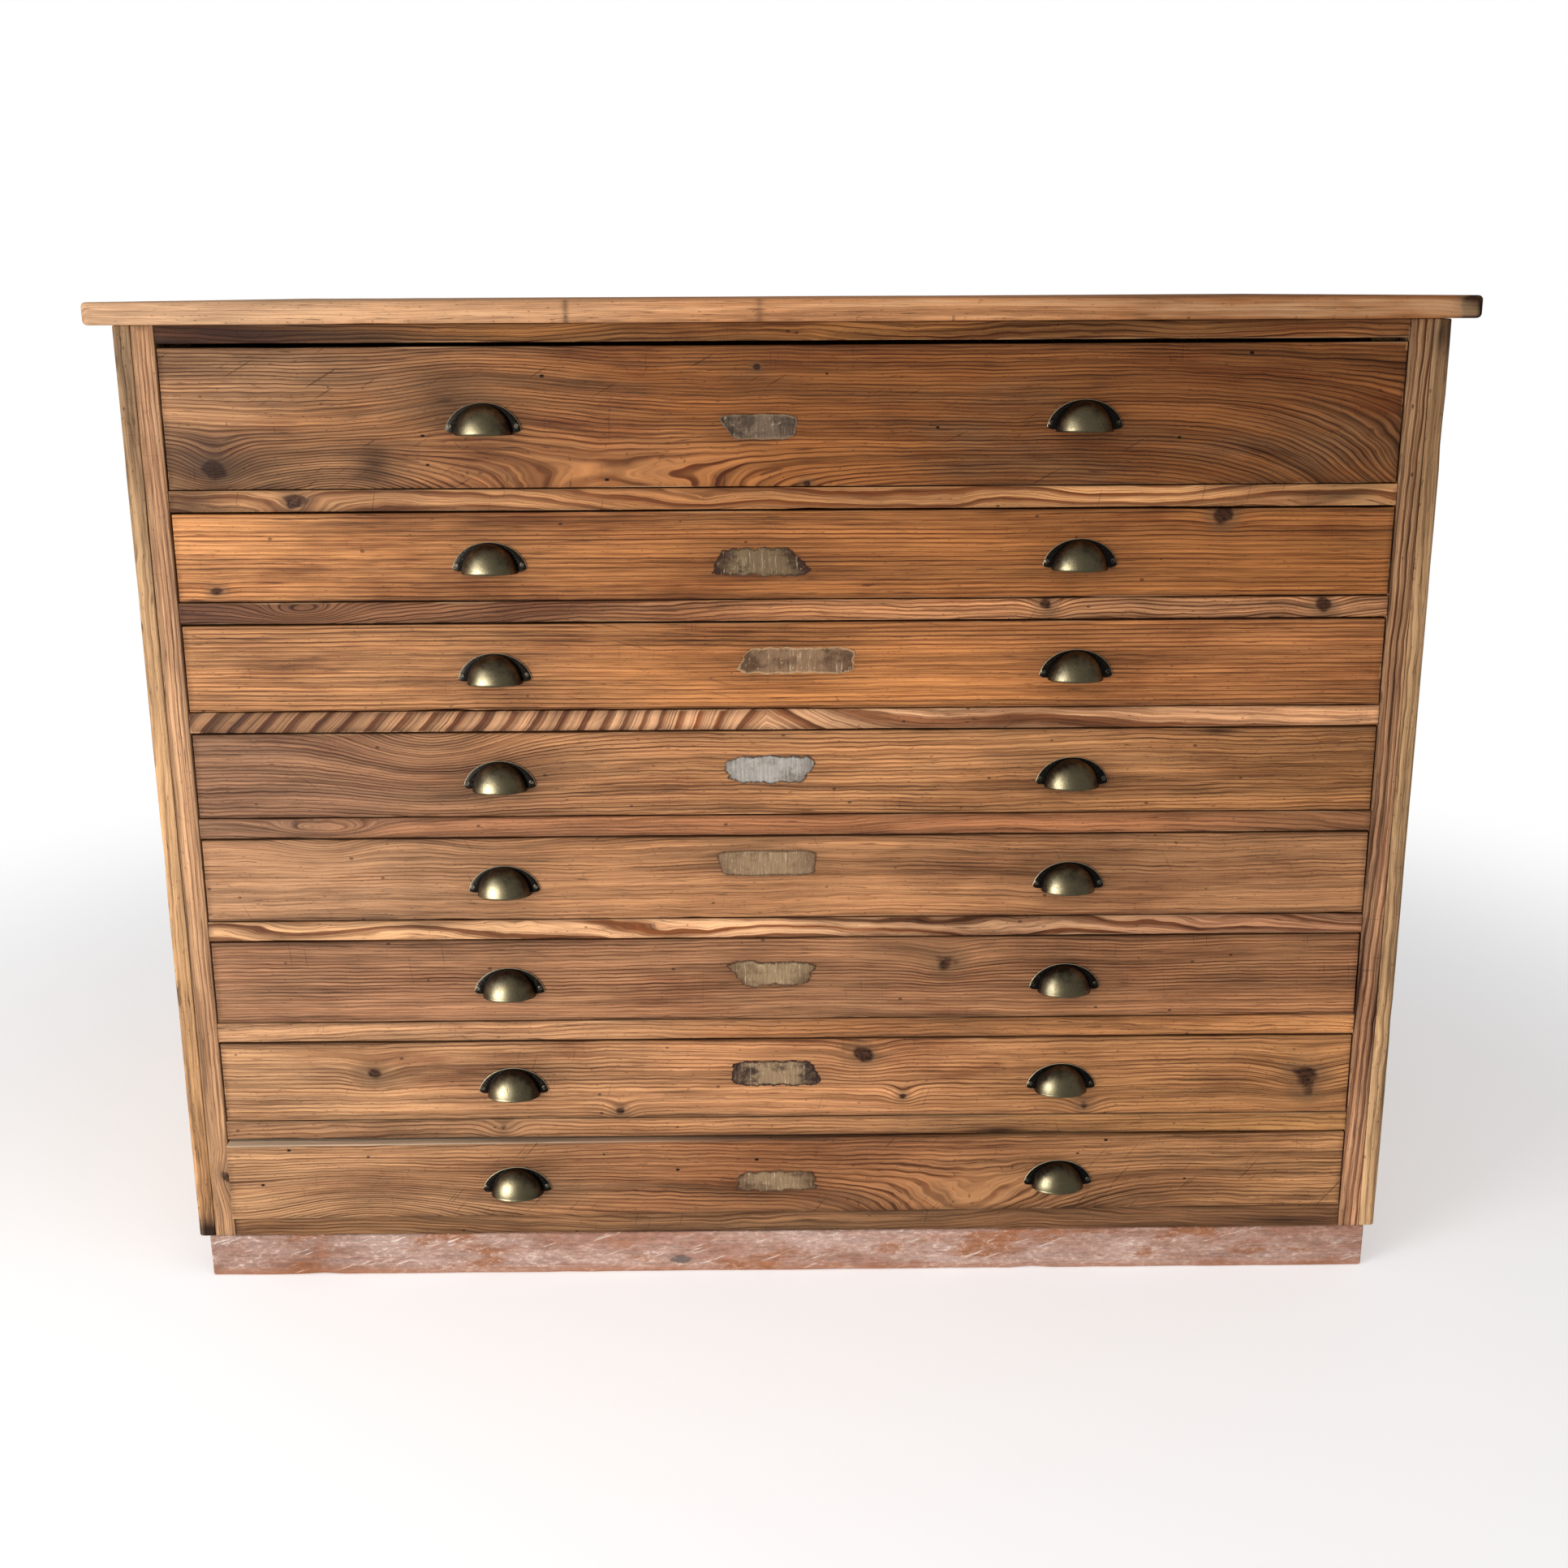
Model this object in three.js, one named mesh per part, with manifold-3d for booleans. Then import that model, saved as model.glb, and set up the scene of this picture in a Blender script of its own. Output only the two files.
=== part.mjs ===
// A flat file cabinet: an old pine plan chest with eight shallow drawers, cup pulls and a plinth.
// Millimetres, +Z up. +X is to the right of a person facing the drawers, which open towards -Y.
// The origin is the middle of the footprint, on the floor.
import * as THREE from "three";
import { mergeVertices } from "three/addons/utils/BufferGeometryUtils.js";
import Module from "manifold-3d";

const wasm = await Module();
wasm.setup();

// Carcass
const CARCASS_WIDTH = 1320;
const CARCASS_DEPTH = 900;
const PLINTH_HEIGHT = 50;
const PLINTH_INSET = 11; // from each side of the carcass
const PLINTH_SETBACK = 1; // behind the face frame
const PLINTH_BOARD = 21;
const SIDE_THICKNESS = 18;
const SIDE_ARRIS = 5; // worn radius of the outer front corner
const STILE_WIDTH = 23;
const STILE_DEPTH = 45;
const TOP_RAIL_HEIGHT = 18;
const RAIL_HEIGHT = 21.5; // between two drawers
const BOTTOM_RAIL_HEIGHT = 26;
const RAIL_DEPTH = 60;
const BACK_THICKNESS = 10;
const BACK_RECESS = 2;
const BACK_BOARDS = 9;
const BACK_GROOVE = 3; // width of the V between two back boards
const BOTTOM_THICKNESS = 9;
const GAP = 0.3; // between pieces that touch

// Top slab
const SLAB_THICKNESS = 22;
const SLAB_OVERHANG = 22; // past the sides and the face
const SLAB_BACK_OVERHANG = 6;
const SLAB_EDGE_RADIUS = 4.5;
const SLAB_CORNER_RADIUS = 9;

// Drawers, from the top one down: the height of each opening
const OPENING_HEIGHTS = [143.5, 92.5, 93, 93, 93, 95, 94, 92];
const FRONT_TOP_GAPS = [4, 2, 2, 2, 2, 2, 2, 2];
const FRONT_BOTTOM_GAP = 1;
const FRONT_SIDE_GAP = 1.5;
const FRONT_THICKNESS = 22;
const FRONT_SETBACKS = [0.5, 0, 0.6, 1.2, 0.4, 1, 0, 0]; // how far each front sits behind the stiles
const BOX_SIDE_CLEARANCE = 9; // between the opening and the drawer box
const BOX_DEPTH = 820;
const BOX_BOARD = 13;
const BOX_DROP = 16; // how much lower than its front a box stands
const DRAWER_BOTTOM = 8;

// The lowest drawer stands a little askew on its worn runners: proud at the left end.
const ASKEW_DRAWER = 8;
const ASKEW_ANGLE = THREE.MathUtils.degToRad(0.5);
const ASKEW_FORWARD = 6;

// Runner racks, one inside each side panel
const LEDGE_WIDTH = 25; // how far a runner stands in under the drawer box
const POST_DEPTH = 60;
const STOP_HEIGHT = 14;
const STOP_DEPTH = 20;

// Cup pulls
const PULL_OFFSET = 300; // from the middle of the drawer front
const PLATE_WIDTH = 77;
const PLATE_HEIGHT = 31;
const PLATE_THICKNESS = 1.6;
const PLATE_RISE = 1.5; // of the plate's lower edge above the cup's lip
const EAR_HEIGHT = 9; // straight part at each end of the plate
const CUP_HALF_WIDTH = 27.5;
const CUP_HEIGHT = 30;
const CUP_PROJECTION = 22;
const CUP_WALL = 2;
const CUP_SEGMENTS = 28; // around a full turn of the cup's ellipsoid
const CUP_RINGS = 14; // from pole to pole

const PINE_FACE = { color: 0xb37a45, roughness: 0.62, metalness: 0 };
const PINE_FRAME = { color: 0xa8764a, roughness: 0.66, metalness: 0 };
const PINE_TOP = { color: 0xc9935c, roughness: 0.55, metalness: 0 };
const PINE_INSIDE = { color: 0xcaa676, roughness: 0.75, metalness: 0 };
const PLINTH_WOOD = { color: 0xa5694f, roughness: 0.75, metalness: 0 };
const BRASS = { color: 0x6b5a3a, roughness: 0.35, metalness: 1 };

const halfWidth = CARCASS_WIDTH / 2;
const halfInner = halfWidth - SIDE_THICKNESS; // inner face of a side panel
const halfOpening = halfInner - STILE_WIDTH; // inner face of a stile
const backFront = CARCASS_DEPTH - BACK_RECESS - BACK_THICKNESS; // front face of the back panel

const chest = new THREE.Group();

function addMesh(parent, name, geometry, finish) {
  const mesh = new THREE.Mesh(geometry, new THREE.MeshStandardMaterial(finish));
  mesh.name = name;
  parent.add(mesh);
  return mesh;
}

// A box from its lowest to its highest corner.
function boxGeometry([x0, y0, z0], [x1, y1, z1]) {
  const geometry = new THREE.BoxGeometry(x1 - x0, y1 - y0, z1 - z0);
  return geometry.translate((x0 + x1) / 2, (y0 + y1) / 2, (z0 + z1) / 2);
}

function extrudeUp(shape, z0, z1, curveSegments = 4) {
  const options = { depth: z1 - z0, bevelEnabled: false, curveSegments };
  return new THREE.ExtrudeGeometry(shape, options).translate(0, 0, z0);
}

function toSolid(geometry) {
  const bare = new THREE.BufferGeometry();
  bare.setAttribute("position", geometry.getAttribute("position"));
  if (geometry.index) bare.setIndex(geometry.index);
  const merged = mergeVertices(bare, 1e-4);
  return new wasm.Manifold(
    new wasm.Mesh({
      numProp: 3,
      vertProperties: new Float32Array(merged.attributes.position.array),
      triVerts: new Uint32Array(merged.index.array),
    }),
  );
}

function toGeometry(solid) {
  const mesh = solid.getMesh();
  const geometry = new THREE.BufferGeometry();
  geometry.setAttribute(
    "position",
    new THREE.BufferAttribute(new Float32Array(mesh.vertProperties), 3),
  );
  geometry.setIndex(new THREE.BufferAttribute(new Uint32Array(mesh.triVerts), 1));
  geometry.computeVertexNormals();
  return geometry;
}

function joinBoxes(boxes) {
  const solids = boxes.map(([low, high]) => toSolid(boxGeometry(low, high)));
  return toGeometry(solids.reduce((whole, next) => whole.add(next)));
}

// Floor and ceiling of the openings between the rails, from the top drawer down.
const openings = [];
let level = PLINTH_HEIGHT + BOTTOM_RAIL_HEIGHT;
for (const height of OPENING_HEIGHTS.toReversed()) {
  openings.unshift({ floor: level, ceiling: level + height });
  level += height + RAIL_HEIGHT;
}
const topRailBottom = openings[0].ceiling;
const topRailTop = topRailBottom + TOP_RAIL_HEIGHT;

// Solid slab with rounded edges and corners
function topSlab() {
  const inset = SLAB_EDGE_RADIUS;
  const x = halfWidth + SLAB_OVERHANG - inset;
  const y0 = -SLAB_OVERHANG + inset;
  const y1 = CARCASS_DEPTH + SLAB_BACK_OVERHANG - inset;
  const r = SLAB_CORNER_RADIUS - inset;
  const shape = new THREE.Shape();
  shape.moveTo(-x + r, y0);
  shape.lineTo(x - r, y0);
  shape.absarc(x - r, y0 + r, r, -Math.PI / 2, 0);
  shape.lineTo(x, y1 - r);
  shape.absarc(x - r, y1 - r, r, 0, Math.PI / 2);
  shape.lineTo(-x + r, y1);
  shape.absarc(-x + r, y1 - r, r, Math.PI / 2, Math.PI);
  shape.lineTo(-x, y0 + r);
  shape.absarc(-x + r, y0 + r, r, Math.PI, Math.PI * 1.5);
  const geometry = new THREE.ExtrudeGeometry(shape, {
    depth: SLAB_THICKNESS - 2 * inset,
    bevelThickness: inset,
    bevelSize: inset,
    bevelSegments: 3,
    curveSegments: 3,
  });
  return geometry.translate(0, 0, topRailTop + GAP + inset);
}

// side is -1 for the left one and 1 for the right one
function sidePanel(side) {
  const outer = side * halfWidth;
  const inner = side * halfInner;
  const r = SIDE_ARRIS;
  const shape = new THREE.Shape();
  shape.moveTo(inner, 0);
  shape.lineTo(outer - side * r, 0);
  shape.quadraticCurveTo(outer, 0, outer, r);
  shape.lineTo(outer, CARCASS_DEPTH);
  shape.lineTo(inner, CARCASS_DEPTH);
  return extrudeUp(shape, PLINTH_HEIGHT + GAP, topRailTop);
}

function stile(side) {
  const faces = [side * (halfInner - GAP), side * halfOpening].sort((a, b) => a - b);
  return boxGeometry([faces[0], 0, PLINTH_HEIGHT + GAP], [faces[1], STILE_DEPTH, topRailTop]);
}

function rail(bottom, top) {
  const x = halfOpening - GAP;
  return boxGeometry([-x, 0, bottom], [x, RAIL_DEPTH, top]);
}

// Matched boards with a V groove at each joint, seen from behind
function backPanel() {
  const x = halfInner - GAP;
  const y0 = backFront + GAP;
  const y1 = CARCASS_DEPTH - BACK_RECESS;
  const groove = BACK_GROOVE / 2;
  const shape = new THREE.Shape();
  shape.moveTo(-x, y0);
  shape.lineTo(x, y0);
  shape.lineTo(x, y1);
  for (let joint = BACK_BOARDS - 1; joint > 0; joint--) {
    const at = -x + (2 * x * joint) / BACK_BOARDS;
    shape.lineTo(at + groove, y1);
    shape.lineTo(at, y1 - groove);
    shape.lineTo(at - groove, y1);
  }
  shape.lineTo(-x, y1);
  return extrudeUp(shape, PLINTH_HEIGHT + GAP, topRailTop);
}

// Front and rear posts with a runner for each drawer, a stop at the back of each, and a kicker on top
function runnerRack(side) {
  const wall = side * (halfInner - GAP);
  const guide = side * (halfOpening + GAP);
  const ledge = side * (halfOpening - LEDGE_WIDTH);
  const boxBetween = (xa, xb, y0, y1, z0, z1) => [
    [Math.min(xa, xb), y0, z0],
    [Math.max(xa, xb), y1, z1],
  ];
  const front = RAIL_DEPTH + GAP;
  const base = PLINTH_HEIGHT + GAP;
  const boxes = [
    boxBetween(wall, guide, front, front + POST_DEPTH, base, topRailTop),
    boxBetween(wall, guide, backFront - POST_DEPTH, backFront, base, topRailTop),
    boxBetween(wall, ledge, front, backFront, topRailBottom, topRailTop),
  ];
  const stopFront = FRONT_THICKNESS + BOX_DEPTH + 2 * GAP + Math.max(...FRONT_SETBACKS);
  for (const { floor } of openings) {
    boxes.push(boxBetween(wall, ledge, front, backFront, floor - RAIL_HEIGHT, floor));
    boxes.push(boxBetween(wall, ledge, stopFront, stopFront + STOP_DEPTH, floor - 1, floor + STOP_HEIGHT));
  }
  return joinBoxes(boxes);
}

function bottomPanel() {
  const x = halfOpening - LEDGE_WIDTH - GAP;
  const z0 = PLINTH_HEIGHT + GAP;
  return boxGeometry([-x, RAIL_DEPTH + GAP, z0], [x, backFront, z0 + BOTTOM_THICKNESS]);
}

function plinthFront() {
  const x = halfWidth - PLINTH_INSET;
  return boxGeometry([-x, PLINTH_SETBACK, 0], [x, PLINTH_SETBACK + PLINTH_BOARD, PLINTH_HEIGHT]);
}

// The plinth's two sides and back, dovetailed into one frame behind the front board
function plinthFrame() {
  const x = halfWidth - PLINTH_INSET;
  const y0 = PLINTH_SETBACK + PLINTH_BOARD + GAP;
  const y1 = CARCASS_DEPTH - PLINTH_INSET;
  const t = PLINTH_BOARD;
  return joinBoxes([
    [[-x, y0, 0], [-x + t, y1, PLINTH_HEIGHT]],
    [[x - t, y0, 0], [x, y1, PLINTH_HEIGHT]],
    [[-x, y1 - t, 0], [x, y1, PLINTH_HEIGHT]],
  ]);
}

// A drawer's sides and back, dovetailed together; the front closes it and the bottom is nailed on below
function drawerBox(y0, z0, height) {
  const x = halfOpening - BOX_SIDE_CLEARANCE;
  const y1 = y0 + BOX_DEPTH;
  const t = BOX_BOARD;
  const shape = new THREE.Shape([
    new THREE.Vector2(-x, y0),
    new THREE.Vector2(-x + t, y0),
    new THREE.Vector2(-x + t, y1 - t),
    new THREE.Vector2(x - t, y1 - t),
    new THREE.Vector2(x - t, y0),
    new THREE.Vector2(x, y0),
    new THREE.Vector2(x, y1),
    new THREE.Vector2(-x, y1),
  ]);
  return extrudeUp(shape, z0, z0 + height);
}

// The cup's outside or inside, as a whole ellipsoid about the middle of its lip
function cupEllipsoid(wall) {
  const sphere = new THREE.SphereGeometry(1, CUP_SEGMENTS, CUP_RINGS);
  sphere.rotateX(Math.PI / 2);
  return toSolid(sphere.scale(CUP_HALF_WIDTH - wall, CUP_PROJECTION - wall, CUP_HEIGHT - wall));
}

// Half-oval back plate with an ear at each end, and a quarter-ellipsoid cup that is open below.
// Its origin is the middle of the lip, on the drawer face; it stands out towards -Y.
function cupPull() {
  const x = PLATE_WIDTH / 2;
  const outline = new THREE.Shape();
  outline.moveTo(-x + 3, PLATE_RISE);
  outline.lineTo(x - 3, PLATE_RISE);
  outline.quadraticCurveTo(x, PLATE_RISE, x, PLATE_RISE + 3);
  outline.lineTo(x, PLATE_RISE + EAR_HEIGHT);
  outline.bezierCurveTo(x - 4, 22, 20, PLATE_HEIGHT + PLATE_RISE, 0, PLATE_HEIGHT + PLATE_RISE);
  outline.bezierCurveTo(-20, PLATE_HEIGHT + PLATE_RISE, -x + 4, 22, -x, PLATE_RISE + EAR_HEIGHT);
  outline.lineTo(-x, PLATE_RISE + 3);
  outline.quadraticCurveTo(-x, PLATE_RISE, -x + 3, PLATE_RISE);
  const plate = extrudeUp(outline, 0, PLATE_THICKNESS, 6).rotateX(Math.PI / 2);
  const reach = 2 * CUP_HALF_WIDTH;
  const room = toSolid(boxGeometry([-reach, -reach, 0], [reach, 0, reach]));
  const outside = cupEllipsoid(0).intersect(room);
  return toGeometry(toSolid(plate).add(outside).subtract(cupEllipsoid(CUP_WALL)));
}

function addCarcass(parent) {
  addMesh(parent, "top_slab", topSlab(), PINE_TOP);
  for (const [side, word] of [[-1, "left"], [1, "right"]]) {
    addMesh(parent, `side_panel_${word}`, sidePanel(side), PINE_FRAME);
    addMesh(parent, `stile_${word}`, stile(side), PINE_FRAME);
    addMesh(parent, `runner_rack_${word}`, runnerRack(side), PINE_INSIDE);
  }
  addMesh(parent, "top_rail", rail(topRailBottom, topRailTop), PINE_FRAME);
  openings.slice(0, -1).forEach(({ floor }, i) => {
    addMesh(parent, `drawer_rail_${i + 1}`, rail(floor - RAIL_HEIGHT, floor), PINE_FRAME);
  });
  addMesh(parent, "bottom_rail", rail(PLINTH_HEIGHT + GAP, openings.at(-1).floor), PINE_FRAME);
  addMesh(parent, "back_panel", backPanel(), PINE_INSIDE);
  addMesh(parent, "bottom_panel", bottomPanel(), PINE_INSIDE);
  addMesh(parent, "plinth_front", plinthFront(), PLINTH_WOOD);
  addMesh(parent, "plinth_frame", plinthFrame(), PLINTH_WOOD);
}

function addDrawer(parent, number) {
  const { floor, ceiling } = openings[number - 1];
  const setback = FRONT_SETBACKS[number - 1];
  const z0 = floor + FRONT_BOTTOM_GAP;
  const z1 = ceiling - FRONT_TOP_GAPS[number - 1];
  const x = halfOpening - FRONT_SIDE_GAP;
  const behind = setback + FRONT_THICKNESS + GAP;
  const boxX = halfOpening - BOX_SIDE_CLEARANCE;
  const boxFloor = z0 + DRAWER_BOTTOM + GAP;
  const name = `drawer_${number}`;
  const drawer = new THREE.Group();

  addMesh(drawer, `${name}_front`, boxGeometry([-x, setback, z0], [x, behind - GAP, z1]), PINE_FACE);
  addMesh(drawer, `${name}_box`, drawerBox(behind, boxFloor, z1 - z0 - BOX_DROP - DRAWER_BOTTOM), PINE_INSIDE);
  const bottom = boxGeometry([-boxX, behind, z0], [boxX, behind + BOX_DEPTH, z0 + DRAWER_BOTTOM]);
  addMesh(drawer, `${name}_bottom`, bottom, PINE_INSIDE);

  const pullFoot = (z0 + z1 - PLATE_HEIGHT - PLATE_RISE) / 2;
  for (const [side, word] of [[-1, "left"], [1, "right"]]) {
    const pull = addMesh(drawer, `${name}_pull_${word}`, cupPull(), BRASS);
    pull.position.set(side * PULL_OFFSET, setback - GAP, pullFoot);
  }
  if (number === ASKEW_DRAWER) {
    drawer.rotation.z = ASKEW_ANGLE;
    drawer.position.y = -ASKEW_FORWARD;
  }
  parent.add(drawer);
}

addCarcass(chest);
openings.forEach((_, i) => addDrawer(chest, i + 1));

// Put the origin in the middle of the footprint.
const footprint = new THREE.Box3().setFromObject(chest);
chest.position.y = -(footprint.min.y + footprint.max.y) / 2;

export default chest;
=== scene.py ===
import math
from dataclasses import dataclass, field, replace

import bmesh
import bpy
from mathutils import Matrix, Vector, noise


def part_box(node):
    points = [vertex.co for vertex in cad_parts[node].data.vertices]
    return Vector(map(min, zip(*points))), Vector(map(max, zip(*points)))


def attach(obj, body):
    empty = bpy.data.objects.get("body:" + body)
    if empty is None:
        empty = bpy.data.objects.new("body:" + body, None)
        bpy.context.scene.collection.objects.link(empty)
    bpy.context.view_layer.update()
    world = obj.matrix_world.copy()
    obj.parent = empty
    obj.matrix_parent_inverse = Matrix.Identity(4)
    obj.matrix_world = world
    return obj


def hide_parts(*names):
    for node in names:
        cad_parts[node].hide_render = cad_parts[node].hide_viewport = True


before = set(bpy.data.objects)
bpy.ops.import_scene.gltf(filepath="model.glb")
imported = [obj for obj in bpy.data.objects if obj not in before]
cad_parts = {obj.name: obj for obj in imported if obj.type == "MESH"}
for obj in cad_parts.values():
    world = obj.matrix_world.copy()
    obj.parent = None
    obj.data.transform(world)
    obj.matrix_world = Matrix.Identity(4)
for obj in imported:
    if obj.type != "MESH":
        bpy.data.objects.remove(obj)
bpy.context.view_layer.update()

MM = 0.001
DRAWERS = range(1, 9)
BACK_BOARDS = 9
FACE_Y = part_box("stile_left")[0].y  # the front of the face frame


# ---------------------------------------------------------------- shader maths

class Value:
    """Something that varies over a surface. Reckoning with it adds the Math nodes."""

    def __init__(self, recipe, socket):
        self.recipe = recipe
        self.socket = socket

    def reckon(self, operation, *terms):
        return self.recipe.make("ShaderNodeMath", {"operation": operation}, dict(enumerate(terms)))

    def __add__(self, other):
        return self.reckon("ADD", self, other)

    def __sub__(self, other):
        return self.reckon("SUBTRACT", self, other)

    def __rsub__(self, other):
        return self.reckon("SUBTRACT", other, self)

    def __mul__(self, other):
        return self.reckon("MULTIPLY", self, other)

    def __truediv__(self, other):
        return self.reckon("DIVIDE", self, other)

    def __pow__(self, other):
        return self.reckon("POWER", self, other)

    __radd__ = __add__
    __rmul__ = __mul__

    def step(self, low, high, start=0.0, end=1.0):
        """Rises smoothly from start to end while the value goes from low to high."""
        settings = {"interpolation_type": "SMOOTHSTEP"}
        inputs = {0: self, 1: low, 2: high, 3: start, 4: end}
        return self.recipe.make("ShaderNodeMapRange", settings, inputs)

    def least(self, other):
        return self.reckon("MINIMUM", self, other)

    def most(self, other):
        return self.reckon("MAXIMUM", self, other)

    def size(self):
        return self.reckon("ABSOLUTE", self)

    def root(self):
        return self.reckon("SQRT", self)

    def bell(self):
        """1 where the value is nought, falling away on both sides."""
        return self.reckon("EXPONENT", self * -1.0)

    def loose(self):
        """The part of the value after its decimal point."""
        return self.reckon("FRACT", self)

    def whole(self):
        return self.reckon("FLOOR", self)


class Recipe:
    """One material and the nodes that make it."""

    def __init__(self, name):
        self.material = bpy.data.materials.new(name)
        self.material.use_nodes = True
        self.tree = self.material.node_tree
        self.shader = self.tree.nodes["Principled BSDF"]
        self.place = self.make("ShaderNodeTexCoord", {}, {}, "Object")

    def make(self, kind, settings, inputs, output=0):
        node = self.tree.nodes.new(kind)
        for key, value in settings.items():
            setattr(node, key, value)
        sockets = {socket.identifier: socket for socket in node.inputs}
        for key, value in inputs.items():
            socket = sockets[key] if key in sockets else node.inputs[key]
            if isinstance(value, Value):
                self.tree.links.new(value.socket, socket)
            elif isinstance(value, (tuple, list)) and socket.type == "RGBA":
                socket.default_value = (*value[:3], 1)
            else:
                socket.default_value = value
        return Value(self, node.outputs[output])

    def stretch(self, point, scale, shift=(0, 0, 0)):
        """The point with each coordinate multiplied and shifted."""
        inputs = {0: point, 1: scale, 2: shift}
        return self.make("ShaderNodeVectorMath", {"operation": "MULTIPLY_ADD"}, inputs)

    def split(self, point):
        node = self.make("ShaderNodeSeparateXYZ", {}, {0: point}).socket.node
        return [Value(self, socket) for socket in node.outputs]

    def join(self, x, y, z):
        return self.make("ShaderNodeCombineXYZ", {}, {0: x, 1: y, 2: z})

    def cloud(self, point, scale=1.0, detail=2.0, rough=0.5):
        """Noise from 0 to 1, mostly near a half."""
        inputs = {"Vector": point, "Scale": scale, "Detail": detail, "Roughness": rough}
        return self.make("ShaderNodeTexNoise", {}, inputs, 0)

    def blend(self, factor, first, second, mode="MIX"):
        """Mixes two colours."""
        settings = {"data_type": "RGBA", "blend_type": mode, "clamp_factor": True}
        inputs = {"Factor_Float": factor, "A_Color": first, "B_Color": second}
        return self.make("ShaderNodeMix", settings, inputs, 2)

    def brighten(self, colour, by):
        """The colour made lighter or darker by a varying factor."""
        return self.make("ShaderNodeVectorMath", {"operation": "SCALE"}, {0: colour, "Scale": by})

    def finish(self, colour, roughness, height=None, depth=0.0005, **constants):
        """Feeds the shader. height from 0 to 1 becomes relief of that depth in metres."""
        for name, value in {"Base Color": colour, "Roughness": roughness, **constants}.items():
            socket = self.shader.inputs[name]
            if isinstance(value, Value):
                self.tree.links.new(value.socket, socket)
            elif socket.type == "RGBA":
                socket.default_value = (*value, 1)
            else:
                socket.default_value = value
        if height is not None:
            inputs = {"Strength": 1.0, "Distance": depth, "Height": height}
            bump = self.make("ShaderNodeBump", {}, inputs)
            self.tree.links.new(bump.socket, self.shader.inputs["Normal"])
        return self.material


def tint(code):
    """The linear colour of a paint maker's code such as B37A45."""
    parts = [int(code[i:i + 2], 16) / 255 for i in (0, 2, 4)]
    return tuple(p / 12.92 if p <= 0.04045 else ((p + 0.055) / 1.055) ** 2.4 for p in parts)


# ---------------------------------------------------------------- pine

@dataclass
class Swell:
    """Grain that bows across a board, and closes in loops where the bow is steep."""
    along: float
    across: float
    length: float
    height: float
    sink: float  # how far the lines are carried down at its middle


@dataclass
class Knot:
    along: float
    across: float
    radius: float
    carry: float = 0.009  # how far the lines swerve around it
    squash: float = 1.25  # its length along the board to its height
    through: float = 0.0
    deep: float = 1.0  # how far it reaches through the board


@dataclass
class Stain:
    along: float
    across: float
    length: float
    height: float
    dark: float


@dataclass
class Pine:
    """One board's figure and colour, with painted light in its end tints. Lengths in metres, places from
    the board's middle.
    """
    # The end tints hold painted light as well as the wood's tone: the light's fall-off across the front,
    # brighter at the left and dimmer at the right, is partly painted into them.
    left: str = "C98B58"  # wood between the rings at its low end, as a tint
    middle: str = ""  # half way along, where that isn't simply between the two
    right: str = "A56C3C"  # and at its high end
    ring: float = 0.0045  # from one ring to the next, across the face
    slope: float = 0.0  # how the rings run off across the board
    level: float = 9.0  # the place along the board from which they run level
    stray: float = 0.006  # how far they wander over its length
    wobble: float = 0.0010  # and from one hand's breadth to the next
    depth: float = 0.75  # how dark they are
    width: float = 0.5  # how much of each ring is late wood
    bold: float = 0.0  # how evenly the late wood shows
    grey: float = 0.25  # weathered patches
    russet: float = 0.3  # reddish patches
    swells: list = field(default_factory=list)
    knots: list = field(default_factory=list)
    stains: list = field(default_factory=list)
    scars: float = 0.6  # scratches, dents and worm holes
    grime: float = 0.6  # dirt along the edges
    dust_and_lit_edge: float = 0.0  # a pale band on its upper edge: dust, and painted light on the top edge that stands proud
    strip: float = 0.0  # width of the narrow boards that a wide one is glued up from
    seed: float = 0.0


WEATHERED = tint("6B5138")
RUSSET = tint("722E0C")
LATE_WOOD = tint("8E6A4C")  # multiplies the wood between the rings
SOOT = tint("1A0F09")
KNOT_HEART = tint("32170C")
BARE = tint("E0B588")
GRIME = tint("2E1A0E")


def place_in_board(spot, along, across):
    """How far a point is from a spot, squared, where 1 is the spot's edge."""
    return ((along - spot.along) / spot.length) ** 2.0 + ((across - spot.across) / spot.height) ** 2.0


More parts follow.
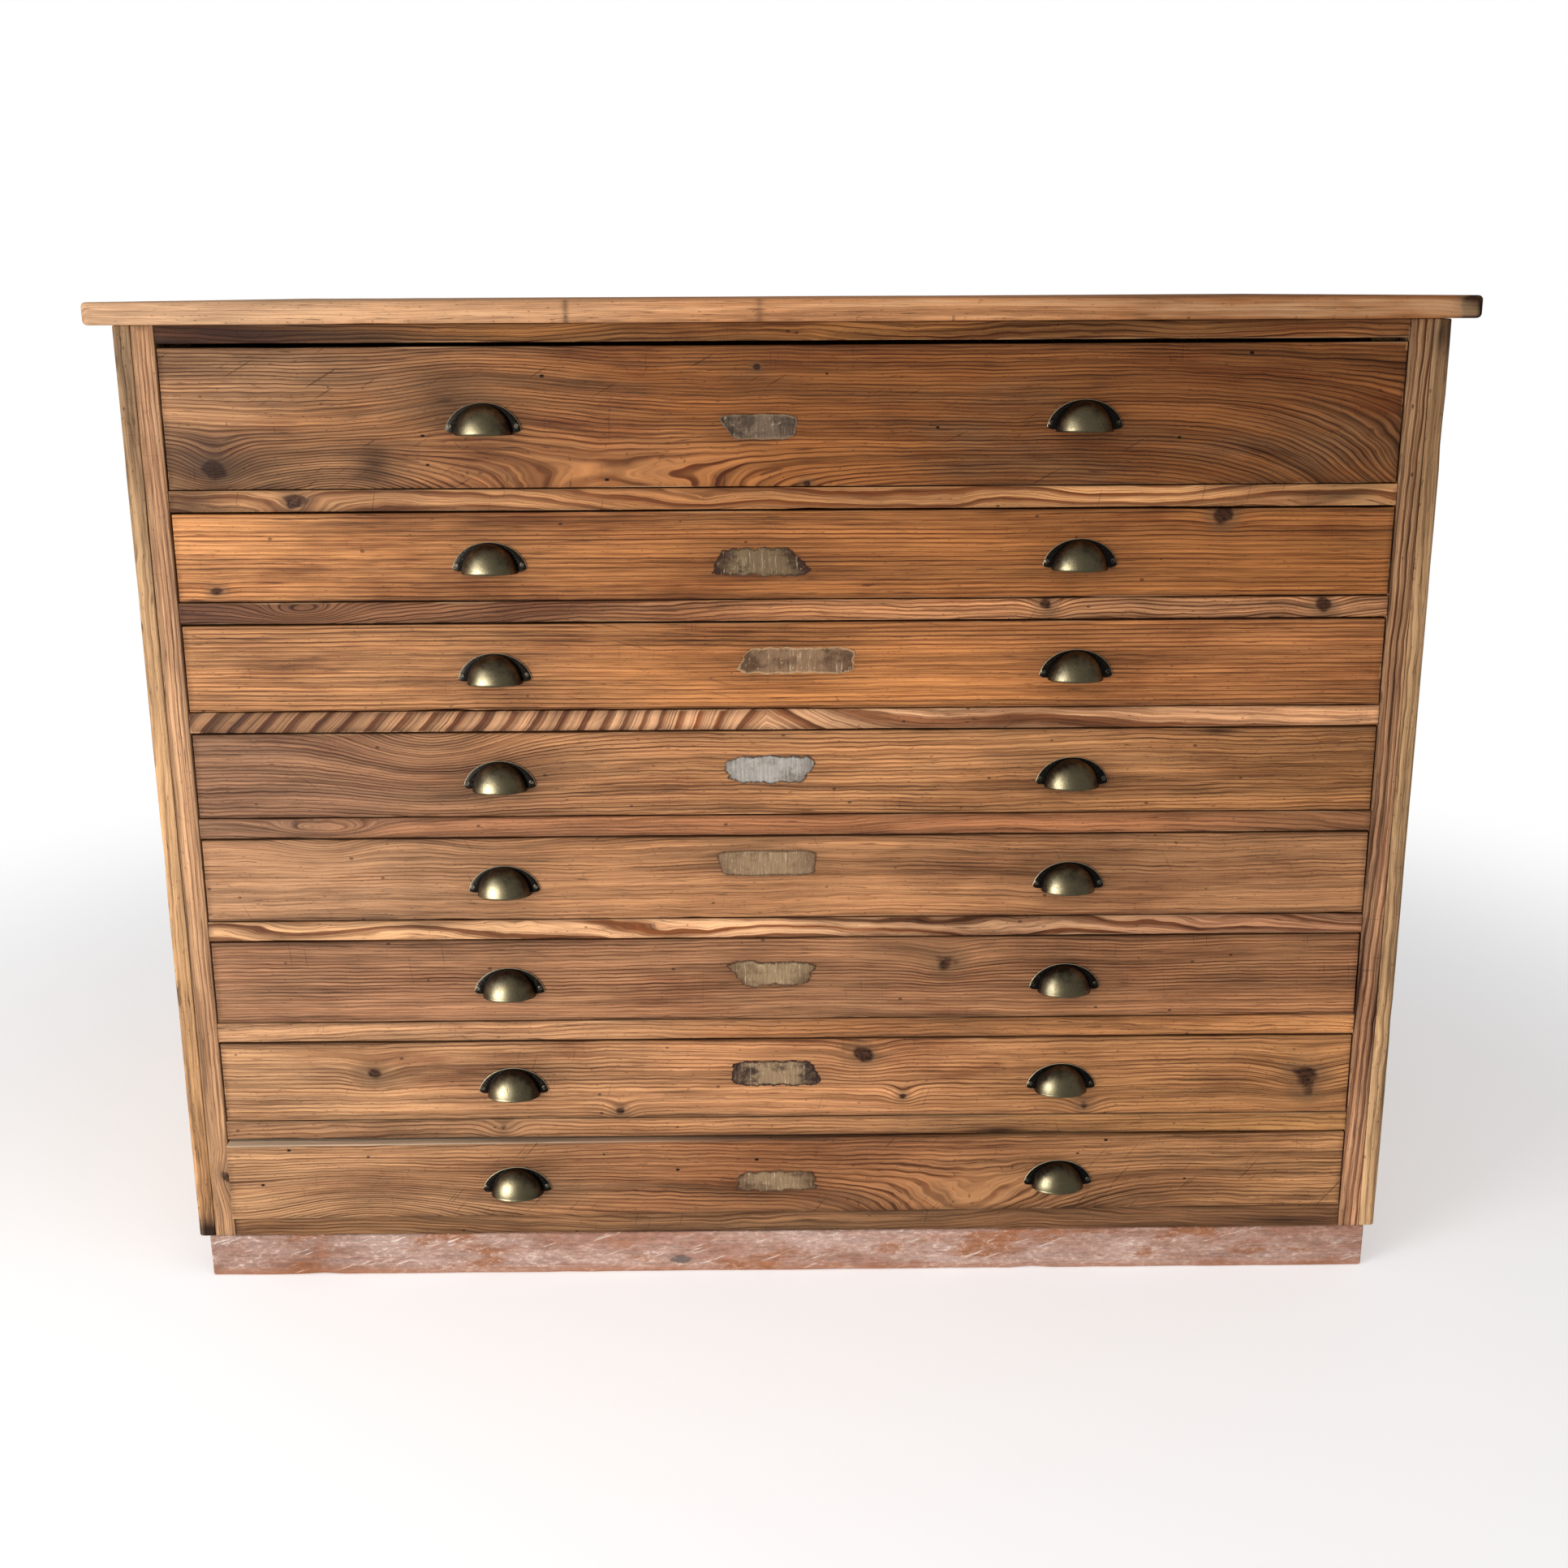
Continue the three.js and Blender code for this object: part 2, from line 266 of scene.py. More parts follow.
def pine(name, board, low, high, run="xzy"):
    """Pine for the board between two corners. run names its axes: along, across and through the board."""
    mat = Recipe(name)
    axes = ["xyz".index(letter) for letter in run]
    half_along, half_across = ((high - low)[axis] / 2 for axis in axes[:2])
    parts = mat.split(mat.stretch(mat.place, (1, 1, 1), tuple((low + high) / -2)))
    along, across, through = (parts[axis] for axis in axes)
    shift = (board.seed * 1.37, board.seed * 2.11, board.seed * 0.73)
    other = (shift[2] + 4, shift[0] + 7, shift[1])
    grain = mat.join(along, across, through)
    lot = None
    if board.strip:
        strips = (across + through) / board.strip + 0.5
        lot = mat.cloud(mat.join(strips.whole(), board.seed, 0.5), scale=0.77, detail=0)
        grain = mat.join(along + lot * 9, across, through)

    # Growth rings
    slow = mat.cloud(mat.stretch(grain, (2.6, 9, 9), shift), detail=1.5)
    mid = mat.cloud(mat.stretch(grain, (9, 34, 34), shift), detail=2)
    curl = mat.cloud(mat.stretch(grain, (34, 52, 52), shift), detail=1)
    growth = across + through * 0.8 + along.least(board.level) * board.slope
    growth = growth + (slow - 0.5) * (board.stray * 5)
    growth = growth + (mid - 0.5) * board.stray + (curl - 0.5) * (board.wobble * 3)
    for swell in board.swells:
        growth = growth + place_in_board(swell, along, across).bell() * swell.sink
    knot_heart = None
    for knot in board.knots:
        reach = ((along - knot.along) / (knot.radius * knot.squash)) ** 2.0 + (
            (across - knot.across) / knot.radius) ** 2.0 + ((through - knot.through) / knot.deep) ** 2.0
        growth = growth + (reach * 0.10).bell() * knot.carry
        near = reach.root() + (mid - 0.5) * 1.8 + (curl - 0.5) * 3.2
        knot_heart = near if knot_heart is None else knot_heart.least(near)
    rings = growth / board.ring
    phase = rings.loose()
    late = phase.step(1 - board.width, 1 - board.width * 0.3) * phase.step(0.93, 1.0, 1.0, 0.0)
    which = mat.cloud(mat.join(rings.whole(), board.seed, 0.5), scale=0.37, detail=0)
    patchy = mat.cloud(mat.stretch(grain, (5, 26, 26), shift), detail=3, rough=0.6)
    late = late * which.step(0.3, 0.65, 0.4 + board.bold * 0.5, 1.0)
    late = late * patchy.step(0.34, 0.56, 0.25 + board.bold * 0.6, 1.0)

    # Colour between the rings, in streaks that follow them
    flow = mat.join(along if lot is None else along + lot * 9, growth, 0.0)
    streak = mat.cloud(mat.stretch(flow, (1.7, 80, 1), shift), detail=4, rough=0.65)
    thread = mat.cloud(mat.stretch(flow, (6, 480, 1), shift), detail=2, rough=0.6)
    fibre = mat.cloud(mat.stretch(flow, (22, 1300, 1), shift), detail=2, rough=0.6)
    broad = mat.cloud(mat.stretch(grain, (3.6, 15, 15), other), detail=4, rough=0.65)
    greyer = mat.cloud(mat.stretch(grain, (2.8, 11, 11), (shift[1], 7, shift[2])), detail=4, rough=0.7)
    # Painted light and tone: the blend from the left tint to the right one carries the light's fall-off
    # along the board as well as its own colour.
    drift = along / half_along + (slow - 0.5) * 1.2
    if board.middle:
        colour = mat.blend(drift.step(-0.9, 0.0), tint(board.left), tint(board.middle))
        colour = mat.blend(drift.step(0.0, 0.9), colour, tint(board.right))
    else:
        colour = mat.blend(drift.step(-0.9, 0.9), tint(board.left), tint(board.right))
    if lot is not None:
        colour = mat.brighten(colour, lot * 1.3 + 0.35)
    colour = mat.blend(broad.step(0.50, 0.72) * board.russet, colour, RUSSET)
    colour = mat.blend(greyer.step(0.48, 0.70) * board.grey, colour, WEATHERED)
    colour = mat.blend(thread.step(0.48, 0.60) * (board.depth * 0.5), colour, LATE_WOOD, "MULTIPLY")
    colour = mat.blend(late * board.depth, colour, LATE_WOOD, "MULTIPLY")
    colour = mat.brighten(colour, streak * 2.4 + fibre * 1.8 + broad * -1.1 - 0.40)

    # Short dark dashes of resin and pores full of dirt
    dash = mat.cloud(mat.stretch(flow, (26, 560, 1), other), detail=2).step(0.64, 0.74)
    pore = mat.cloud(mat.stretch(flow, (170, 620, 1), shift), detail=1).step(0.66, 0.76)
    colour = mat.blend((dash * 0.65).most(pore * 0.5), colour, KNOT_HEART)

    # Knots and stains
    if knot_heart is not None:
        colour = mat.blend(knot_heart.step(1.0, 3.2, 1.0, 0.0) * 0.5, colour, WEATHERED)
        eye = knot_heart.step(0.6, 1.3, 1.0, 0.0)
        colour = mat.blend(eye * 0.85, colour, KNOT_HEART)
        crack = mat.cloud(mat.stretch(grain, (240, 330, 240), shift), detail=2).step(0.50, 0.62) * eye
        colour = mat.blend(crack * 0.7, colour, SOOT)
    for stain in board.stains:
        dark = place_in_board(stain, along, across).bell() * (patchy * 1.6 + 0.2) * stain.dark
        colour = mat.blend(dark, colour, GRIME)

    # Scratches, dents, worm holes, and dirt along the edges
    turned = mat.make("ShaderNodeVectorRotate", {"rotation_type": "AXIS_ANGLE"},
                      {"Vector": grain, "Axis": (0, 0, 1), "Angle": 0.5 + board.seed * 0.4})
    scratch = mat.cloud(mat.stretch(turned, (15, 380, 380), shift), detail=1).step(0.70, 0.78)
    cross = mat.cloud(mat.stretch(grain, (420, 18, 18), shift), detail=1).step(0.67, 0.77)
    wander = (mat.cloud(mat.stretch(grain, (17, 26, 26), other), detail=2) - 0.5).size()
    wander = wander.step(0.0012, 0.004, 1.0, 0.0)
    scored = (scratch * greyer.step(0.45, 0.6) + cross * broad.step(0.50, 0.64) * 0.5
              + wander * mid.step(0.60, 0.68) * 0.5) * board.scars
    colour = mat.blend(scored * 0.6, colour, KNOT_HEART)
    cell = mat.make("ShaderNodeTexVoronoi", {"feature": "F1"},
                    {"Vector": mat.stretch(grain, (22, 36, 36), shift), "Scale": 1.0})
    hole = cell.step(0.035, 0.060, 1.0, 0.0) * board.scars
    colour = mat.blend(hole, colour, SOOT)
    rim = (half_across - across.size()).least(half_along - along.size()) + (mid - 0.5) * 0.006
    dirt = rim.step(-0.001, 0.008, 1.0, 0.0) * greyer.step(0.35, 0.60, 0.4, 1.0)
    if lot is not None:
        seam = ((strips.loose() - 0.5).size() * -1.0 + 0.5) * board.strip
        dirt = dirt.most(seam.step(0.0004, 0.0012, 1.0, 0.0))
    colour = mat.blend(dirt * board.grime * 0.75, colour, GRIME)
    rubbed = rim.step(-0.0010, 0.0014, 1.0, 0.0) * streak.step(0.46, 0.60)
    colour = mat.blend(rubbed * 0.45, colour, BARE)

    if board.dust_and_lit_edge:
        # Painted light and dust: the pale band along the top edge stands for its lit top face as well as
        # dust, fading out to the right.
        ledge = (across - half_across).step(-0.0022, -0.0008) * (streak * 0.8 + 0.4)
        ledge = ledge * drift.step(-0.8, 0.2, 1.0, 0.0)
        colour = mat.blend(ledge * board.dust_and_lit_edge, colour, tint("D3C0A6"))

    height = fibre * 0.45 + late * 0.5 - scored * 0.6 - hole * 1.5 + streak * 0.3
    roughness = 0.50 + streak * 0.22 - late * 0.08 + dirt * 0.12
    return mat.finish(colour, roughness, height, depth=0.0007, **{"Specular IOR Level": 0.2})


# ---------------------------------------------------------------- boards

def put(name, bm, material, body, nodes=(), smooth=False):
    """Makes a piece of a finished bmesh, gives it its finish and sets it on its body."""
    mesh = bpy.data.meshes.new(name)
    for face in bm.faces:
        face.smooth = smooth
    bm.to_mesh(mesh)
    bm.free()
    mesh.materials.append(material)
    piece = bpy.data.objects.new(name, mesh)
    bpy.context.scene.collection.objects.link(piece)
    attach(piece, body)
    if nodes:
        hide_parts(*nodes)
    return piece


def sharp_edges(bm, limit=1.0):
    return [edge for edge in bm.edges if edge.calc_face_angle(0.0) > limit]


def ease(bm, edges, radius, segments=2):
    bmesh.ops.bevel(bm, geom=edges, offset=radius, offset_type="OFFSET", segments=segments,
                    profile=0.5, affect="EDGES", clamp_overlap=True, material=-1)


def plank(low, high, step=0.025):
    """A squared board, cut across its length every step so that its edges can wear."""
    bm = bmesh.new()
    bmesh.ops.create_cube(bm, size=1)
    size = high - low
    bmesh.ops.scale(bm, vec=size, verts=bm.verts)
    bmesh.ops.translate(bm, vec=(low + high) / 2, verts=bm.verts)
    length = max(range(3), key=lambda axis: size[axis])
    runs = [e for e in bm.edges if abs((e.verts[0].co - e.verts[1].co)[length]) > size[length] / 2]
    bmesh.ops.subdivide_edges(bm, edges=runs, cuts=int(size[length] / step), use_grid_fill=True)
    return bm


def wear(bm, low, high, depth, reach, seed):
    """Rubs the arrises in, more here and less there. Only vertices within reach of two faces move."""
    centre = (low + high) / 2
    half = (high - low) / 2
    for vert in bm.verts:
        near = [a for a in range(3) if half[a] - abs(vert.co[a] - centre[a]) < reach]
        if len(near) < 2:
            continue
        long_wave = noise.noise(vert.co * 7 + Vector((seed, 0, 3)))
        short_wave = noise.noise(vert.co * 31 + Vector((0, seed, 5)))
        knock = max(0.0, noise.noise(vert.co * 16 + Vector((seed, 9, seed))) - 0.42) * 9
        amount = depth * max(0.0, 0.3 + long_wave + 0.7 * short_wave + knock)
        for axis in near:
            vert.co[axis] -= math.copysign(min(amount, half[axis] * 0.4), vert.co[axis] - centre[axis])


def face_frame_board(name, node, figure, run):
    """One of the stiles and rails around the drawers."""
    arris = 1.0 * MM
    rub = 0.35 * MM
    low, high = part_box(node)
    bm = plank(low, high)
    ease(bm, sharp_edges(bm), arris)
    wear(bm, low, high, rub, arris * 1.3, figure.seed)
    put(name, bm, pine(name, figure, low, high, run), "cabinet", [node])


# ---------------------------------------------------------------- the boards' figures

# The top board's darker right end is painted shade, where the light falls off.
SLAB = Pine(left="C29873", middle="BF8558", right="905D36", ring=0.003, stray=0.002, wobble=0.0004,
            depth=0.18, grey=0.05, russet=0.05, scars=0.3, grime=0.1, seed=3.0, width=0.4, strip=0.148,
            knots=[Knot(0.671, -0.462, 0.009, 0.003, 0.9, 0.002, 0.009)],
            stains=[Stain(-0.212, -0.468, 0.003, 0.014, 0.55), Stain(-0.024, -0.468, 0.004, 0.014, 0.5),
                    Stain(0.676, -0.468, 0.012, 0.02, 0.8)])
TOP_RAIL = Pine(left="503925", middle="A26E3B", right="8F6037", ring=0.006, stray=0.012, depth=1.0,
                bold=0.5, grey=0.35, russet=0.4, grime=0.6, seed=5.0,
                stains=[Stain(-0.55, 0.0, 0.06, 0.02, 0.5), Stain(0.3, 0.0, 0.1, 0.02, 0.5)])
RAILS = [
    Pine(left="B18157", middle="AB7345", right="E1A56D", ring=0.016, slope=0.03, stray=0.02, depth=1.0,
         grey=0.1, russet=0.7, seed=11.0, width=0.6, bold=0.8, knots=[Knot(-0.494, -0.002, 0.007)],
         stains=[Stain(-0.6, 0.0, 0.03, 0.02, 0.6), Stain(0.56, 0.0, 0.05, 0.01, 0.6)]),
    Pine(left="613F2C", middle="B88054", right="CA9164", ring=0.004, slope=-0.02, stray=0.008, depth=1.0,
         grey=0.35, russet=0.3, seed=12.0, bold=0.8, swells=[Swell(-0.491, 0.003, 0.045, 0.012, 0.024)],
         knots=[Knot(0.551, 0.002, 0.007), Knot(0.268, 0.004, 0.005)],
         stains=[Stain(-0.49, 0.0, 0.08, 0.02, 0.4)]),
    Pine(left="896344", middle="C9976E", right="D49C6F", ring=0.033, slope=-1.2, level=-0.02, stray=0.01,
         depth=1.0, grey=0.1, russet=0.3, seed=13.0, width=0.6, bold=1.0,
         swells=[Swell(-0.06, 0.0, 0.1, 1.0, -0.07)]),
    Pine(left="84634A", middle="AE724A", right="916240", ring=0.0045, stray=0.008, depth=0.7, grey=0.2,
         russet=0.3, seed=14.0, swells=[Swell(-0.491, -0.001, 0.055, 0.01, 0.018)]),
    Pine(left="C19267", middle="CE9D73", right="AC7957", ring=0.012, slope=0.03, stray=0.016, depth=1.0,
         grey=0.15, russet=0.6, seed=15.0, width=0.6, bold=0.8,
         stains=[Stain(-0.39, 0.006, 0.03, 0.006, 0.5)]),
    Pine(left="B78A63", middle="A06C43", right="D9975E", ring=0.0045, stray=0.006, depth=0.6, grey=0.3,
         russet=0.3, seed=16.0),
    Pine(left="9A7250", middle="A97850", right="AA7949", ring=0.0045, stray=0.007, depth=0.65, grey=0.5,
         russet=0.35, seed=17.0, knots=[Knot(-0.314, 0.0, 0.005)],
         stains=[Stain(0.233, -0.008, 0.03, 0.006, 0.8)]),
]
BOTTOM_RAIL = Pine(left="85603F", middle="8A6342", right="8C6241", ring=0.005, stray=0.014, depth=0.8,
                   grey=0.5, russet=0.3, seed=19.0, grime=0.9,
                   stains=[Stain(0.54, -0.006, 0.09, 0.008, 0.8)])
FRONTS = [
    Pine(left="9A714E", middle="925B2E", right="754824", ring=0.0036, stray=0.004, wobble=0.0006,
         depth=0.9, grey=0.5, russet=0.45, bold=0.6, seed=21.0, scars=1.0,
         swells=[Swell(0.72, -0.088, 0.2, 0.1, 0.115), Swell(-0.44, -0.1, 0.07, 0.05, -0.035),
                 Swell(-0.16, -0.11, 0.19, 0.055, 0.075), Swell(-0.3, 0.02, 0.1, 0.05, -0.016)],
         knots=[Knot(-0.57, -0.048, 0.008, 0.02), Knot(-0.027, 0.048, 0.002, 0.001),
                Knot(0.023, -0.068, 0.003, 0.001)],
         stains=[Stain(-0.57, -0.045, 0.07, 0.03, 0.5), Stain(-0.41, -0.045, 0.02, 0.02, 0.7),
                 Stain(-0.335, 0.015, 0.035, 0.03, 0.5), Stain(0.0, 0.04, 0.09, 0.03, 0.35)]),
    Pine(left="C28652", middle="9F6638", right="9C6334", ring=0.0047, stray=0.0018, wobble=0.0004,
         depth=0.85, bold=0.3, grey=0.1, russet=0.45, seed=22.0,
         knots=[Knot(0.444, 0.038, 0.006, 0.004), Knot(-0.578, -0.033, 0.004, 0.002)]),
    Pine(left="B37E51", middle="B47643", right="AB7042", ring=0.0047, stray=0.0018, wobble=0.0004,
         depth=0.85, bold=0.3, grey=0.1, russet=0.35, seed=23.0),
    Pine(left="896348", middle="B78255", right="A67245", ring=0.0044, stray=0.004, depth=0.9, bold=0.5,
         grey=0.5, russet=0.25, seed=24.0, swells=[Swell(-0.37, 0.062, 0.085, 0.07, 0.055)],
         stains=[Stain(0.451, 0.042, 0.02, 0.004, 0.7)]),
    Pine(left="A47956", middle="AC7950", right="A1724C", ring=0.0044, stray=0.005, depth=0.7, grey=0.35,
         russet=0.25, seed=25.0,
         swells=[Swell(-0.49, 0.062, 0.05, 0.035, 0.026), Swell(-0.31, 0.062, 0.06, 0.03, 0.02)]),
    Pine(left="966B4C", middle="A47551", right="9E6D48", ring=0.004, stray=0.003, wobble=0.0008,
         depth=0.95, bold=0.4, grey=0.4, russet=0.4, seed=26.0, knots=[Knot(0.171, 0.016, 0.009, 0.008)],
         stains=[Stain(0.13, 0.034, 0.04, 0.01, 0.6)]),
    Pine(left="A37A55", middle="BD865A", right="A87548", ring=0.0048, stray=0.003, depth=0.85, bold=0.3,
         grey=0.1, russet=0.45, seed=27.0,
         knots=[Knot(-0.453, 0.009, 0.007), Knot(0.082, 0.026, 0.008), Knot(0.567, -0.005, 0.011, 0.012),
                Knot(0.127, -0.022, 0.004), Knot(-0.184, -0.038, 0.004), Knot(0.327, -0.038, 0.005)],
         stains=[Stain(-0.107, -0.015, 0.05, 0.003, 0.6), Stain(-0.6, -0.005, 0.06, 0.003, 0.5),
                 Stain(0.473, -0.006, 0.05, 0.003, 0.6)]),
    Pine(left="A97F59", middle="95623D", right="C28D5D", ring=0.0044, stray=0.006, depth=0.9, bold=0.4,
         grey=0.4, russet=0.3, seed=28.0,
         swells=[Swell(-0.46, -0.06, 0.1, 0.05, -0.045), Swell(0.19, -0.062, 0.13, 0.05, 0.055)],
         scars=1.0, dust_and_lit_edge=0.7),
]
BANDS = {
    "left": Pine(left="BE8F60", right="AB8A65", ring=0.006, stray=0.003, depth=0.5, grey=0.3, grime=0.15,
                 seed=31.0, strip=0.146, stains=[Stain(-0.49, -0.45, 0.016, 0.05, 0.9)]),
    "right": Pine(left="B9946A", right="8A6A49", ring=0.006, stray=0.003, depth=0.5, grey=0.3, grime=0.15,
                  seed=32.0, strip=0.146, stains=[Stain(0.48, -0.45, 0.02, 0.05, 0.8)]),
}
STILES = {
    "left": Pine(left="A77F5B", right="BC916A", ring=0.0045, stray=0.002, wobble=0.0006, depth=0.8,
                 grey=0.25, seed=33.0, slope=0.01, width=0.6, knots=[Knot(-0.424, 0.009, 0.006)]),
    "right": Pine(left="C4926C", right="9D7855", ring=0.007, stray=0.003, wobble=0.001, depth=1.0,
                  bold=0.7, grey=0.35, seed=34.0, slope=-0.03, width=0.6),
}
PLAIN = Pine(left="DDB07C", right="D2A26E", ring=0.005, stray=0.006, depth=0.4, grey=0.15, russet=0.08,
             scars=0.3, grime=0.4, seed=41.0)
BACK = Pine(left="C08C58", right="C9935F", ring=0.006, stray=0.004, depth=0.5, grey=0.2, russet=0.15,
            scars=0.4, grime=0.5, seed=42.0)


# ---------------------------------------------------------------- painted plinth

def plinth_paint(name, low, high):
    """Red paint, faded pink, scuffed and worn through to the wood."""
    mat = Recipe(name)
    local = mat.stretch(mat.place, (1, 1, 1), tuple((low + high) / -2))
    across = mat.split(local)[2]
    grain = mat.cloud(mat.stretch(local, (9, 9, 320)), detail=4, rough=0.7)
    chalk = mat.cloud(mat.stretch(local, (150, 150, 330)), detail=3, rough=0.7)
    patch = mat.cloud(mat.stretch(local, (7, 7, 22)), detail=5, rough=0.7)
    fade = mat.cloud(mat.stretch(local, (4, 4, 14), (5, 2, 1)), detail=5, rough=0.7)
    turned = mat.make("ShaderNodeVectorRotate", {"rotation_type": "AXIS_ANGLE"},
                      {"Vector": local, "Axis": (0, 1, 0), "Angle": 0.35})
    scuff = mat.cloud(mat.stretch(turned, (26, 26, 300), (3, 1, 9)), detail=3, rough=0.7)
    colour = mat.blend(fade.step(0.38, 0.62), tint("A07460"), tint("BFA092"))
    # Painted shade: the paint is darkened towards the left end.
    shaded = (mat.split(local)[0] / (high.x - low.x) + 0.5).step(0.0, 0.45, 0.74, 1.0)
    colour = mat.blend(patch.step(0.50, 0.64) * 0.8, colour, tint("9C6038"))
    colour = mat.brighten(colour, (grain * 1.1 + chalk * 1.3 - 0.2) * shaded)
    colour = mat.blend(chalk.step(0.56, 0.68) * fade.step(0.40, 0.60) * 0.6, colour, tint("E2CFC2"))
    colour = mat.blend(scuff.step(0.60, 0.70) * 0.7, colour, tint("E6D5C8"))
    colour = mat.blend(grain.step(0.60, 0.70) * 0.5, colour, tint("6E3E2B"))
    low_edge = (across + (patch - 0.5) * 0.02).step(-0.026, -0.012, 1.0, 0.0)
    colour = mat.blend(low_edge * 0.6, colour, tint("A5673F"))
    knot = (across + 0.010) / 0.006
    colour = mat.blend(chipped(mat, local, knot) * 0.8, colour, tint("5B5550"))
    height = patch.step(0.50, 0.56) * -0.4 + grain * 0.4 + chalk * 0.3 + scuff * 0.2
    return mat.finish(colour, 0.66 + chalk * 0.18, height, depth=0.0008, **{"Specular IOR Level": 0.25})


def chipped(mat, local, rise):
    """The one place where a knot has pushed the paint off, left of the middle."""
    ripple = mat.cloud(mat.stretch(local, (90, 90, 160)), detail=2)
    reach = ((mat.split(local)[0] + 0.122) / 0.013) ** 2.0 + rise ** 2.0
    return (reach + (ripple - 0.5) * 2.5).step(0.4, 1.1, 1.0, 0.0)


# ---------------------------------------------------------------- carcass

def build_carcass():
    low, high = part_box("top_slab")
    bm = plank(low, high, step=0.04)
    corners = [e for e in sharp_edges(bm) if abs(e.verts[0].co.z - e.verts[1].co.z) > 0.01]
    ease(bm, corners, 8 * MM, 4)
    ease(bm, sharp_edges(bm, 0.8), 4.5 * MM, 4)
    wear(bm, low, high, 0.25 * MM, 6 * MM, SLAB.seed)
    put("top_board", bm, pine("top_board", SLAB, low, high, "xyz"), "cabinet", ["top_slab"])

    for word in ("left", "right"):
        low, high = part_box(f"side_panel_{word}")
        bm = plank(low, high)
        outer = low.x if word == "left" else high.x
        front = [e for e in sharp_edges(bm)
                 if all(abs(v.co.x - outer) < MM and abs(v.co.y - low.y) < MM for v in e.verts)]
        ease(bm, front, 4.5 * MM, 4)
        ease(bm, sharp_edges(bm), 1.2 * MM)
        wear(bm, low, high, 0.4 * MM, 6 * MM, BANDS[word].seed)
        finish = pine(f"side_{word}", BANDS[word], low, high, "zyx")
        put(f"side_board_{word}", bm, finish, "cabinet", [f"side_panel_{word}"])
        face_frame_board(f"stile_board_{word}", f"stile_{word}", STILES[word], "zxy")

    face_frame_board("top_rail_board", "top_rail", TOP_RAIL, "xzy")
    for number, figure in enumerate(RAILS, 1):
        face_frame_board(f"rail_board_{number}", f"drawer_rail_{number}", figure, "xzy")
    face_frame_board("bottom_rail_board", "bottom_rail", BOTTOM_RAIL, "xzy")

    low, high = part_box("plinth_front")
    bm = plank(low, high)
    ease(bm, sharp_edges(bm), 2.5 * MM, 3)
    wear(bm, low, high, 0.7 * MM, 3 * MM, 6.0)
    finish = plinth_paint("plinth_paint", low, high)
    put("plinth_board", bm, finish, "cabinet", ["plinth_front"])
    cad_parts["plinth_frame"].data.materials.clear()
    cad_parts["plinth_frame"].data.materials.append(finish)


def refinish(node, material):
    """Gives a CAD node that keeps its own shape a better finish."""
    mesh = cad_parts[node].data
    mesh.materials.clear()
    mesh.materials.append(material)


def build_inside():
    low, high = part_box("back_panel")
    figure = replace(BACK, strip=(high.x - low.x) / BACK_BOARDS)
    refinish("back_panel", pine("back_boards", figure, low, high, "zxy"))
    low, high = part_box("bottom_panel")
    refinish("bottom_panel", pine("bottom_board", PLAIN, low, high, "xyz"))
    for word in ("left", "right"):
        low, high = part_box(f"runner_rack_{word}")
        refinish(f"runner_rack_{word}", pine(f"runners_{word}", PLAIN, low, high, "yzx"))


# ---------------------------------------------------------------- drawers

class Drawer:
    """Where a drawer's pieces are. One stands askew, so they are worked out square and then turned."""

    TWIN = 2  # a drawer that stands square, for the sizes of the askew one

    def __init__(self, number):
        self.number = number
        self.body = f"drawer_{number}"
        low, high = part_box(f"drawer_{number}_front")
        twin_low, twin_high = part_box(f"drawer_{self.TWIN}_front")
        self.pivot = (low + high) / 2
        spare = (high.y - low.y) - (twin_high.y - twin_low.y)
        self.lean = math.asin(max(0.0, spare) / (twin_high.x - twin_low.x))
        if self.lean < 1e-3:
            self.lean = 0.0
        self.turn = (Matrix.Translation(self.pivot) @ Matrix.Rotation(self.lean, 4, "Z")
                     @ Matrix.Translation(-self.pivot))

    def square_box(self, piece):
        """The box of one of its CAD nodes, as if the drawer stood square."""
        low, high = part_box(f"drawer_{self.number}_{piece}")
        if not self.lean:
            return low, high
        twin_low, twin_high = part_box(f"drawer_{self.TWIN}_{piece}")
        centre = self.turn.inverted() @ ((low + high) / 2)
        half = (twin_high - twin_low) / 2
        half.z = (high.z - low.z) / 2
        return centre - half, centre + half

    def put(self, name, bm, material, slot, nodes=(), smooth=False):
        bmesh.ops.transform(bm, matrix=self.turn, verts=bm.verts)
        full = [f"drawer_{self.number}_{node}" for node in nodes]
        return put(f"drawer_{self.number}_{name}", bm, material, self.body, full, smooth)


def build_drawer_wood(drawer):
    label = LABELS[drawer.number - 1]
    low, high = drawer.square_box("front")
    handled = [Stain(label.x * MM, label.z * MM, label.width * 0.58 * MM, label.height * 0.85 * MM, 0.45)]
    for word in ("left", "right"):
        pull_low, pull_high = drawer.square_box(f"pull_{word}")
        at = (pull_low + pull_high - low - high) / 2
        handled.append(Stain(at.x, at.z, 60 * MM, 28 * MM, 0.35))
    figure = replace(FRONTS[drawer.number - 1], stains=FRONTS[drawer.number - 1].stains + handled)
    bm = plank(low, high)
    ease(bm, sharp_edges(bm), 1.1 * MM, 3)
    wear(bm, low, high, 0.4 * MM, 1.6 * MM, figure.seed)
    name = f"drawer_{drawer.number}_face"
    drawer.put("face_board", bm, pine(name, figure, low, high, "xzy"), "pine_face", ["front"])
    for node, name, run in (("box", "sides", "yzx"), ("bottom", "floor", "xyz")):
        low, high = drawer.square_box(node)
        finish = pine(f"drawer_{drawer.number}_{name}", PLAIN, low, high, run)
        refinish(f"drawer_{drawer.number}_{node}", finish)


# ---------------------------------------------------------------- cup pulls

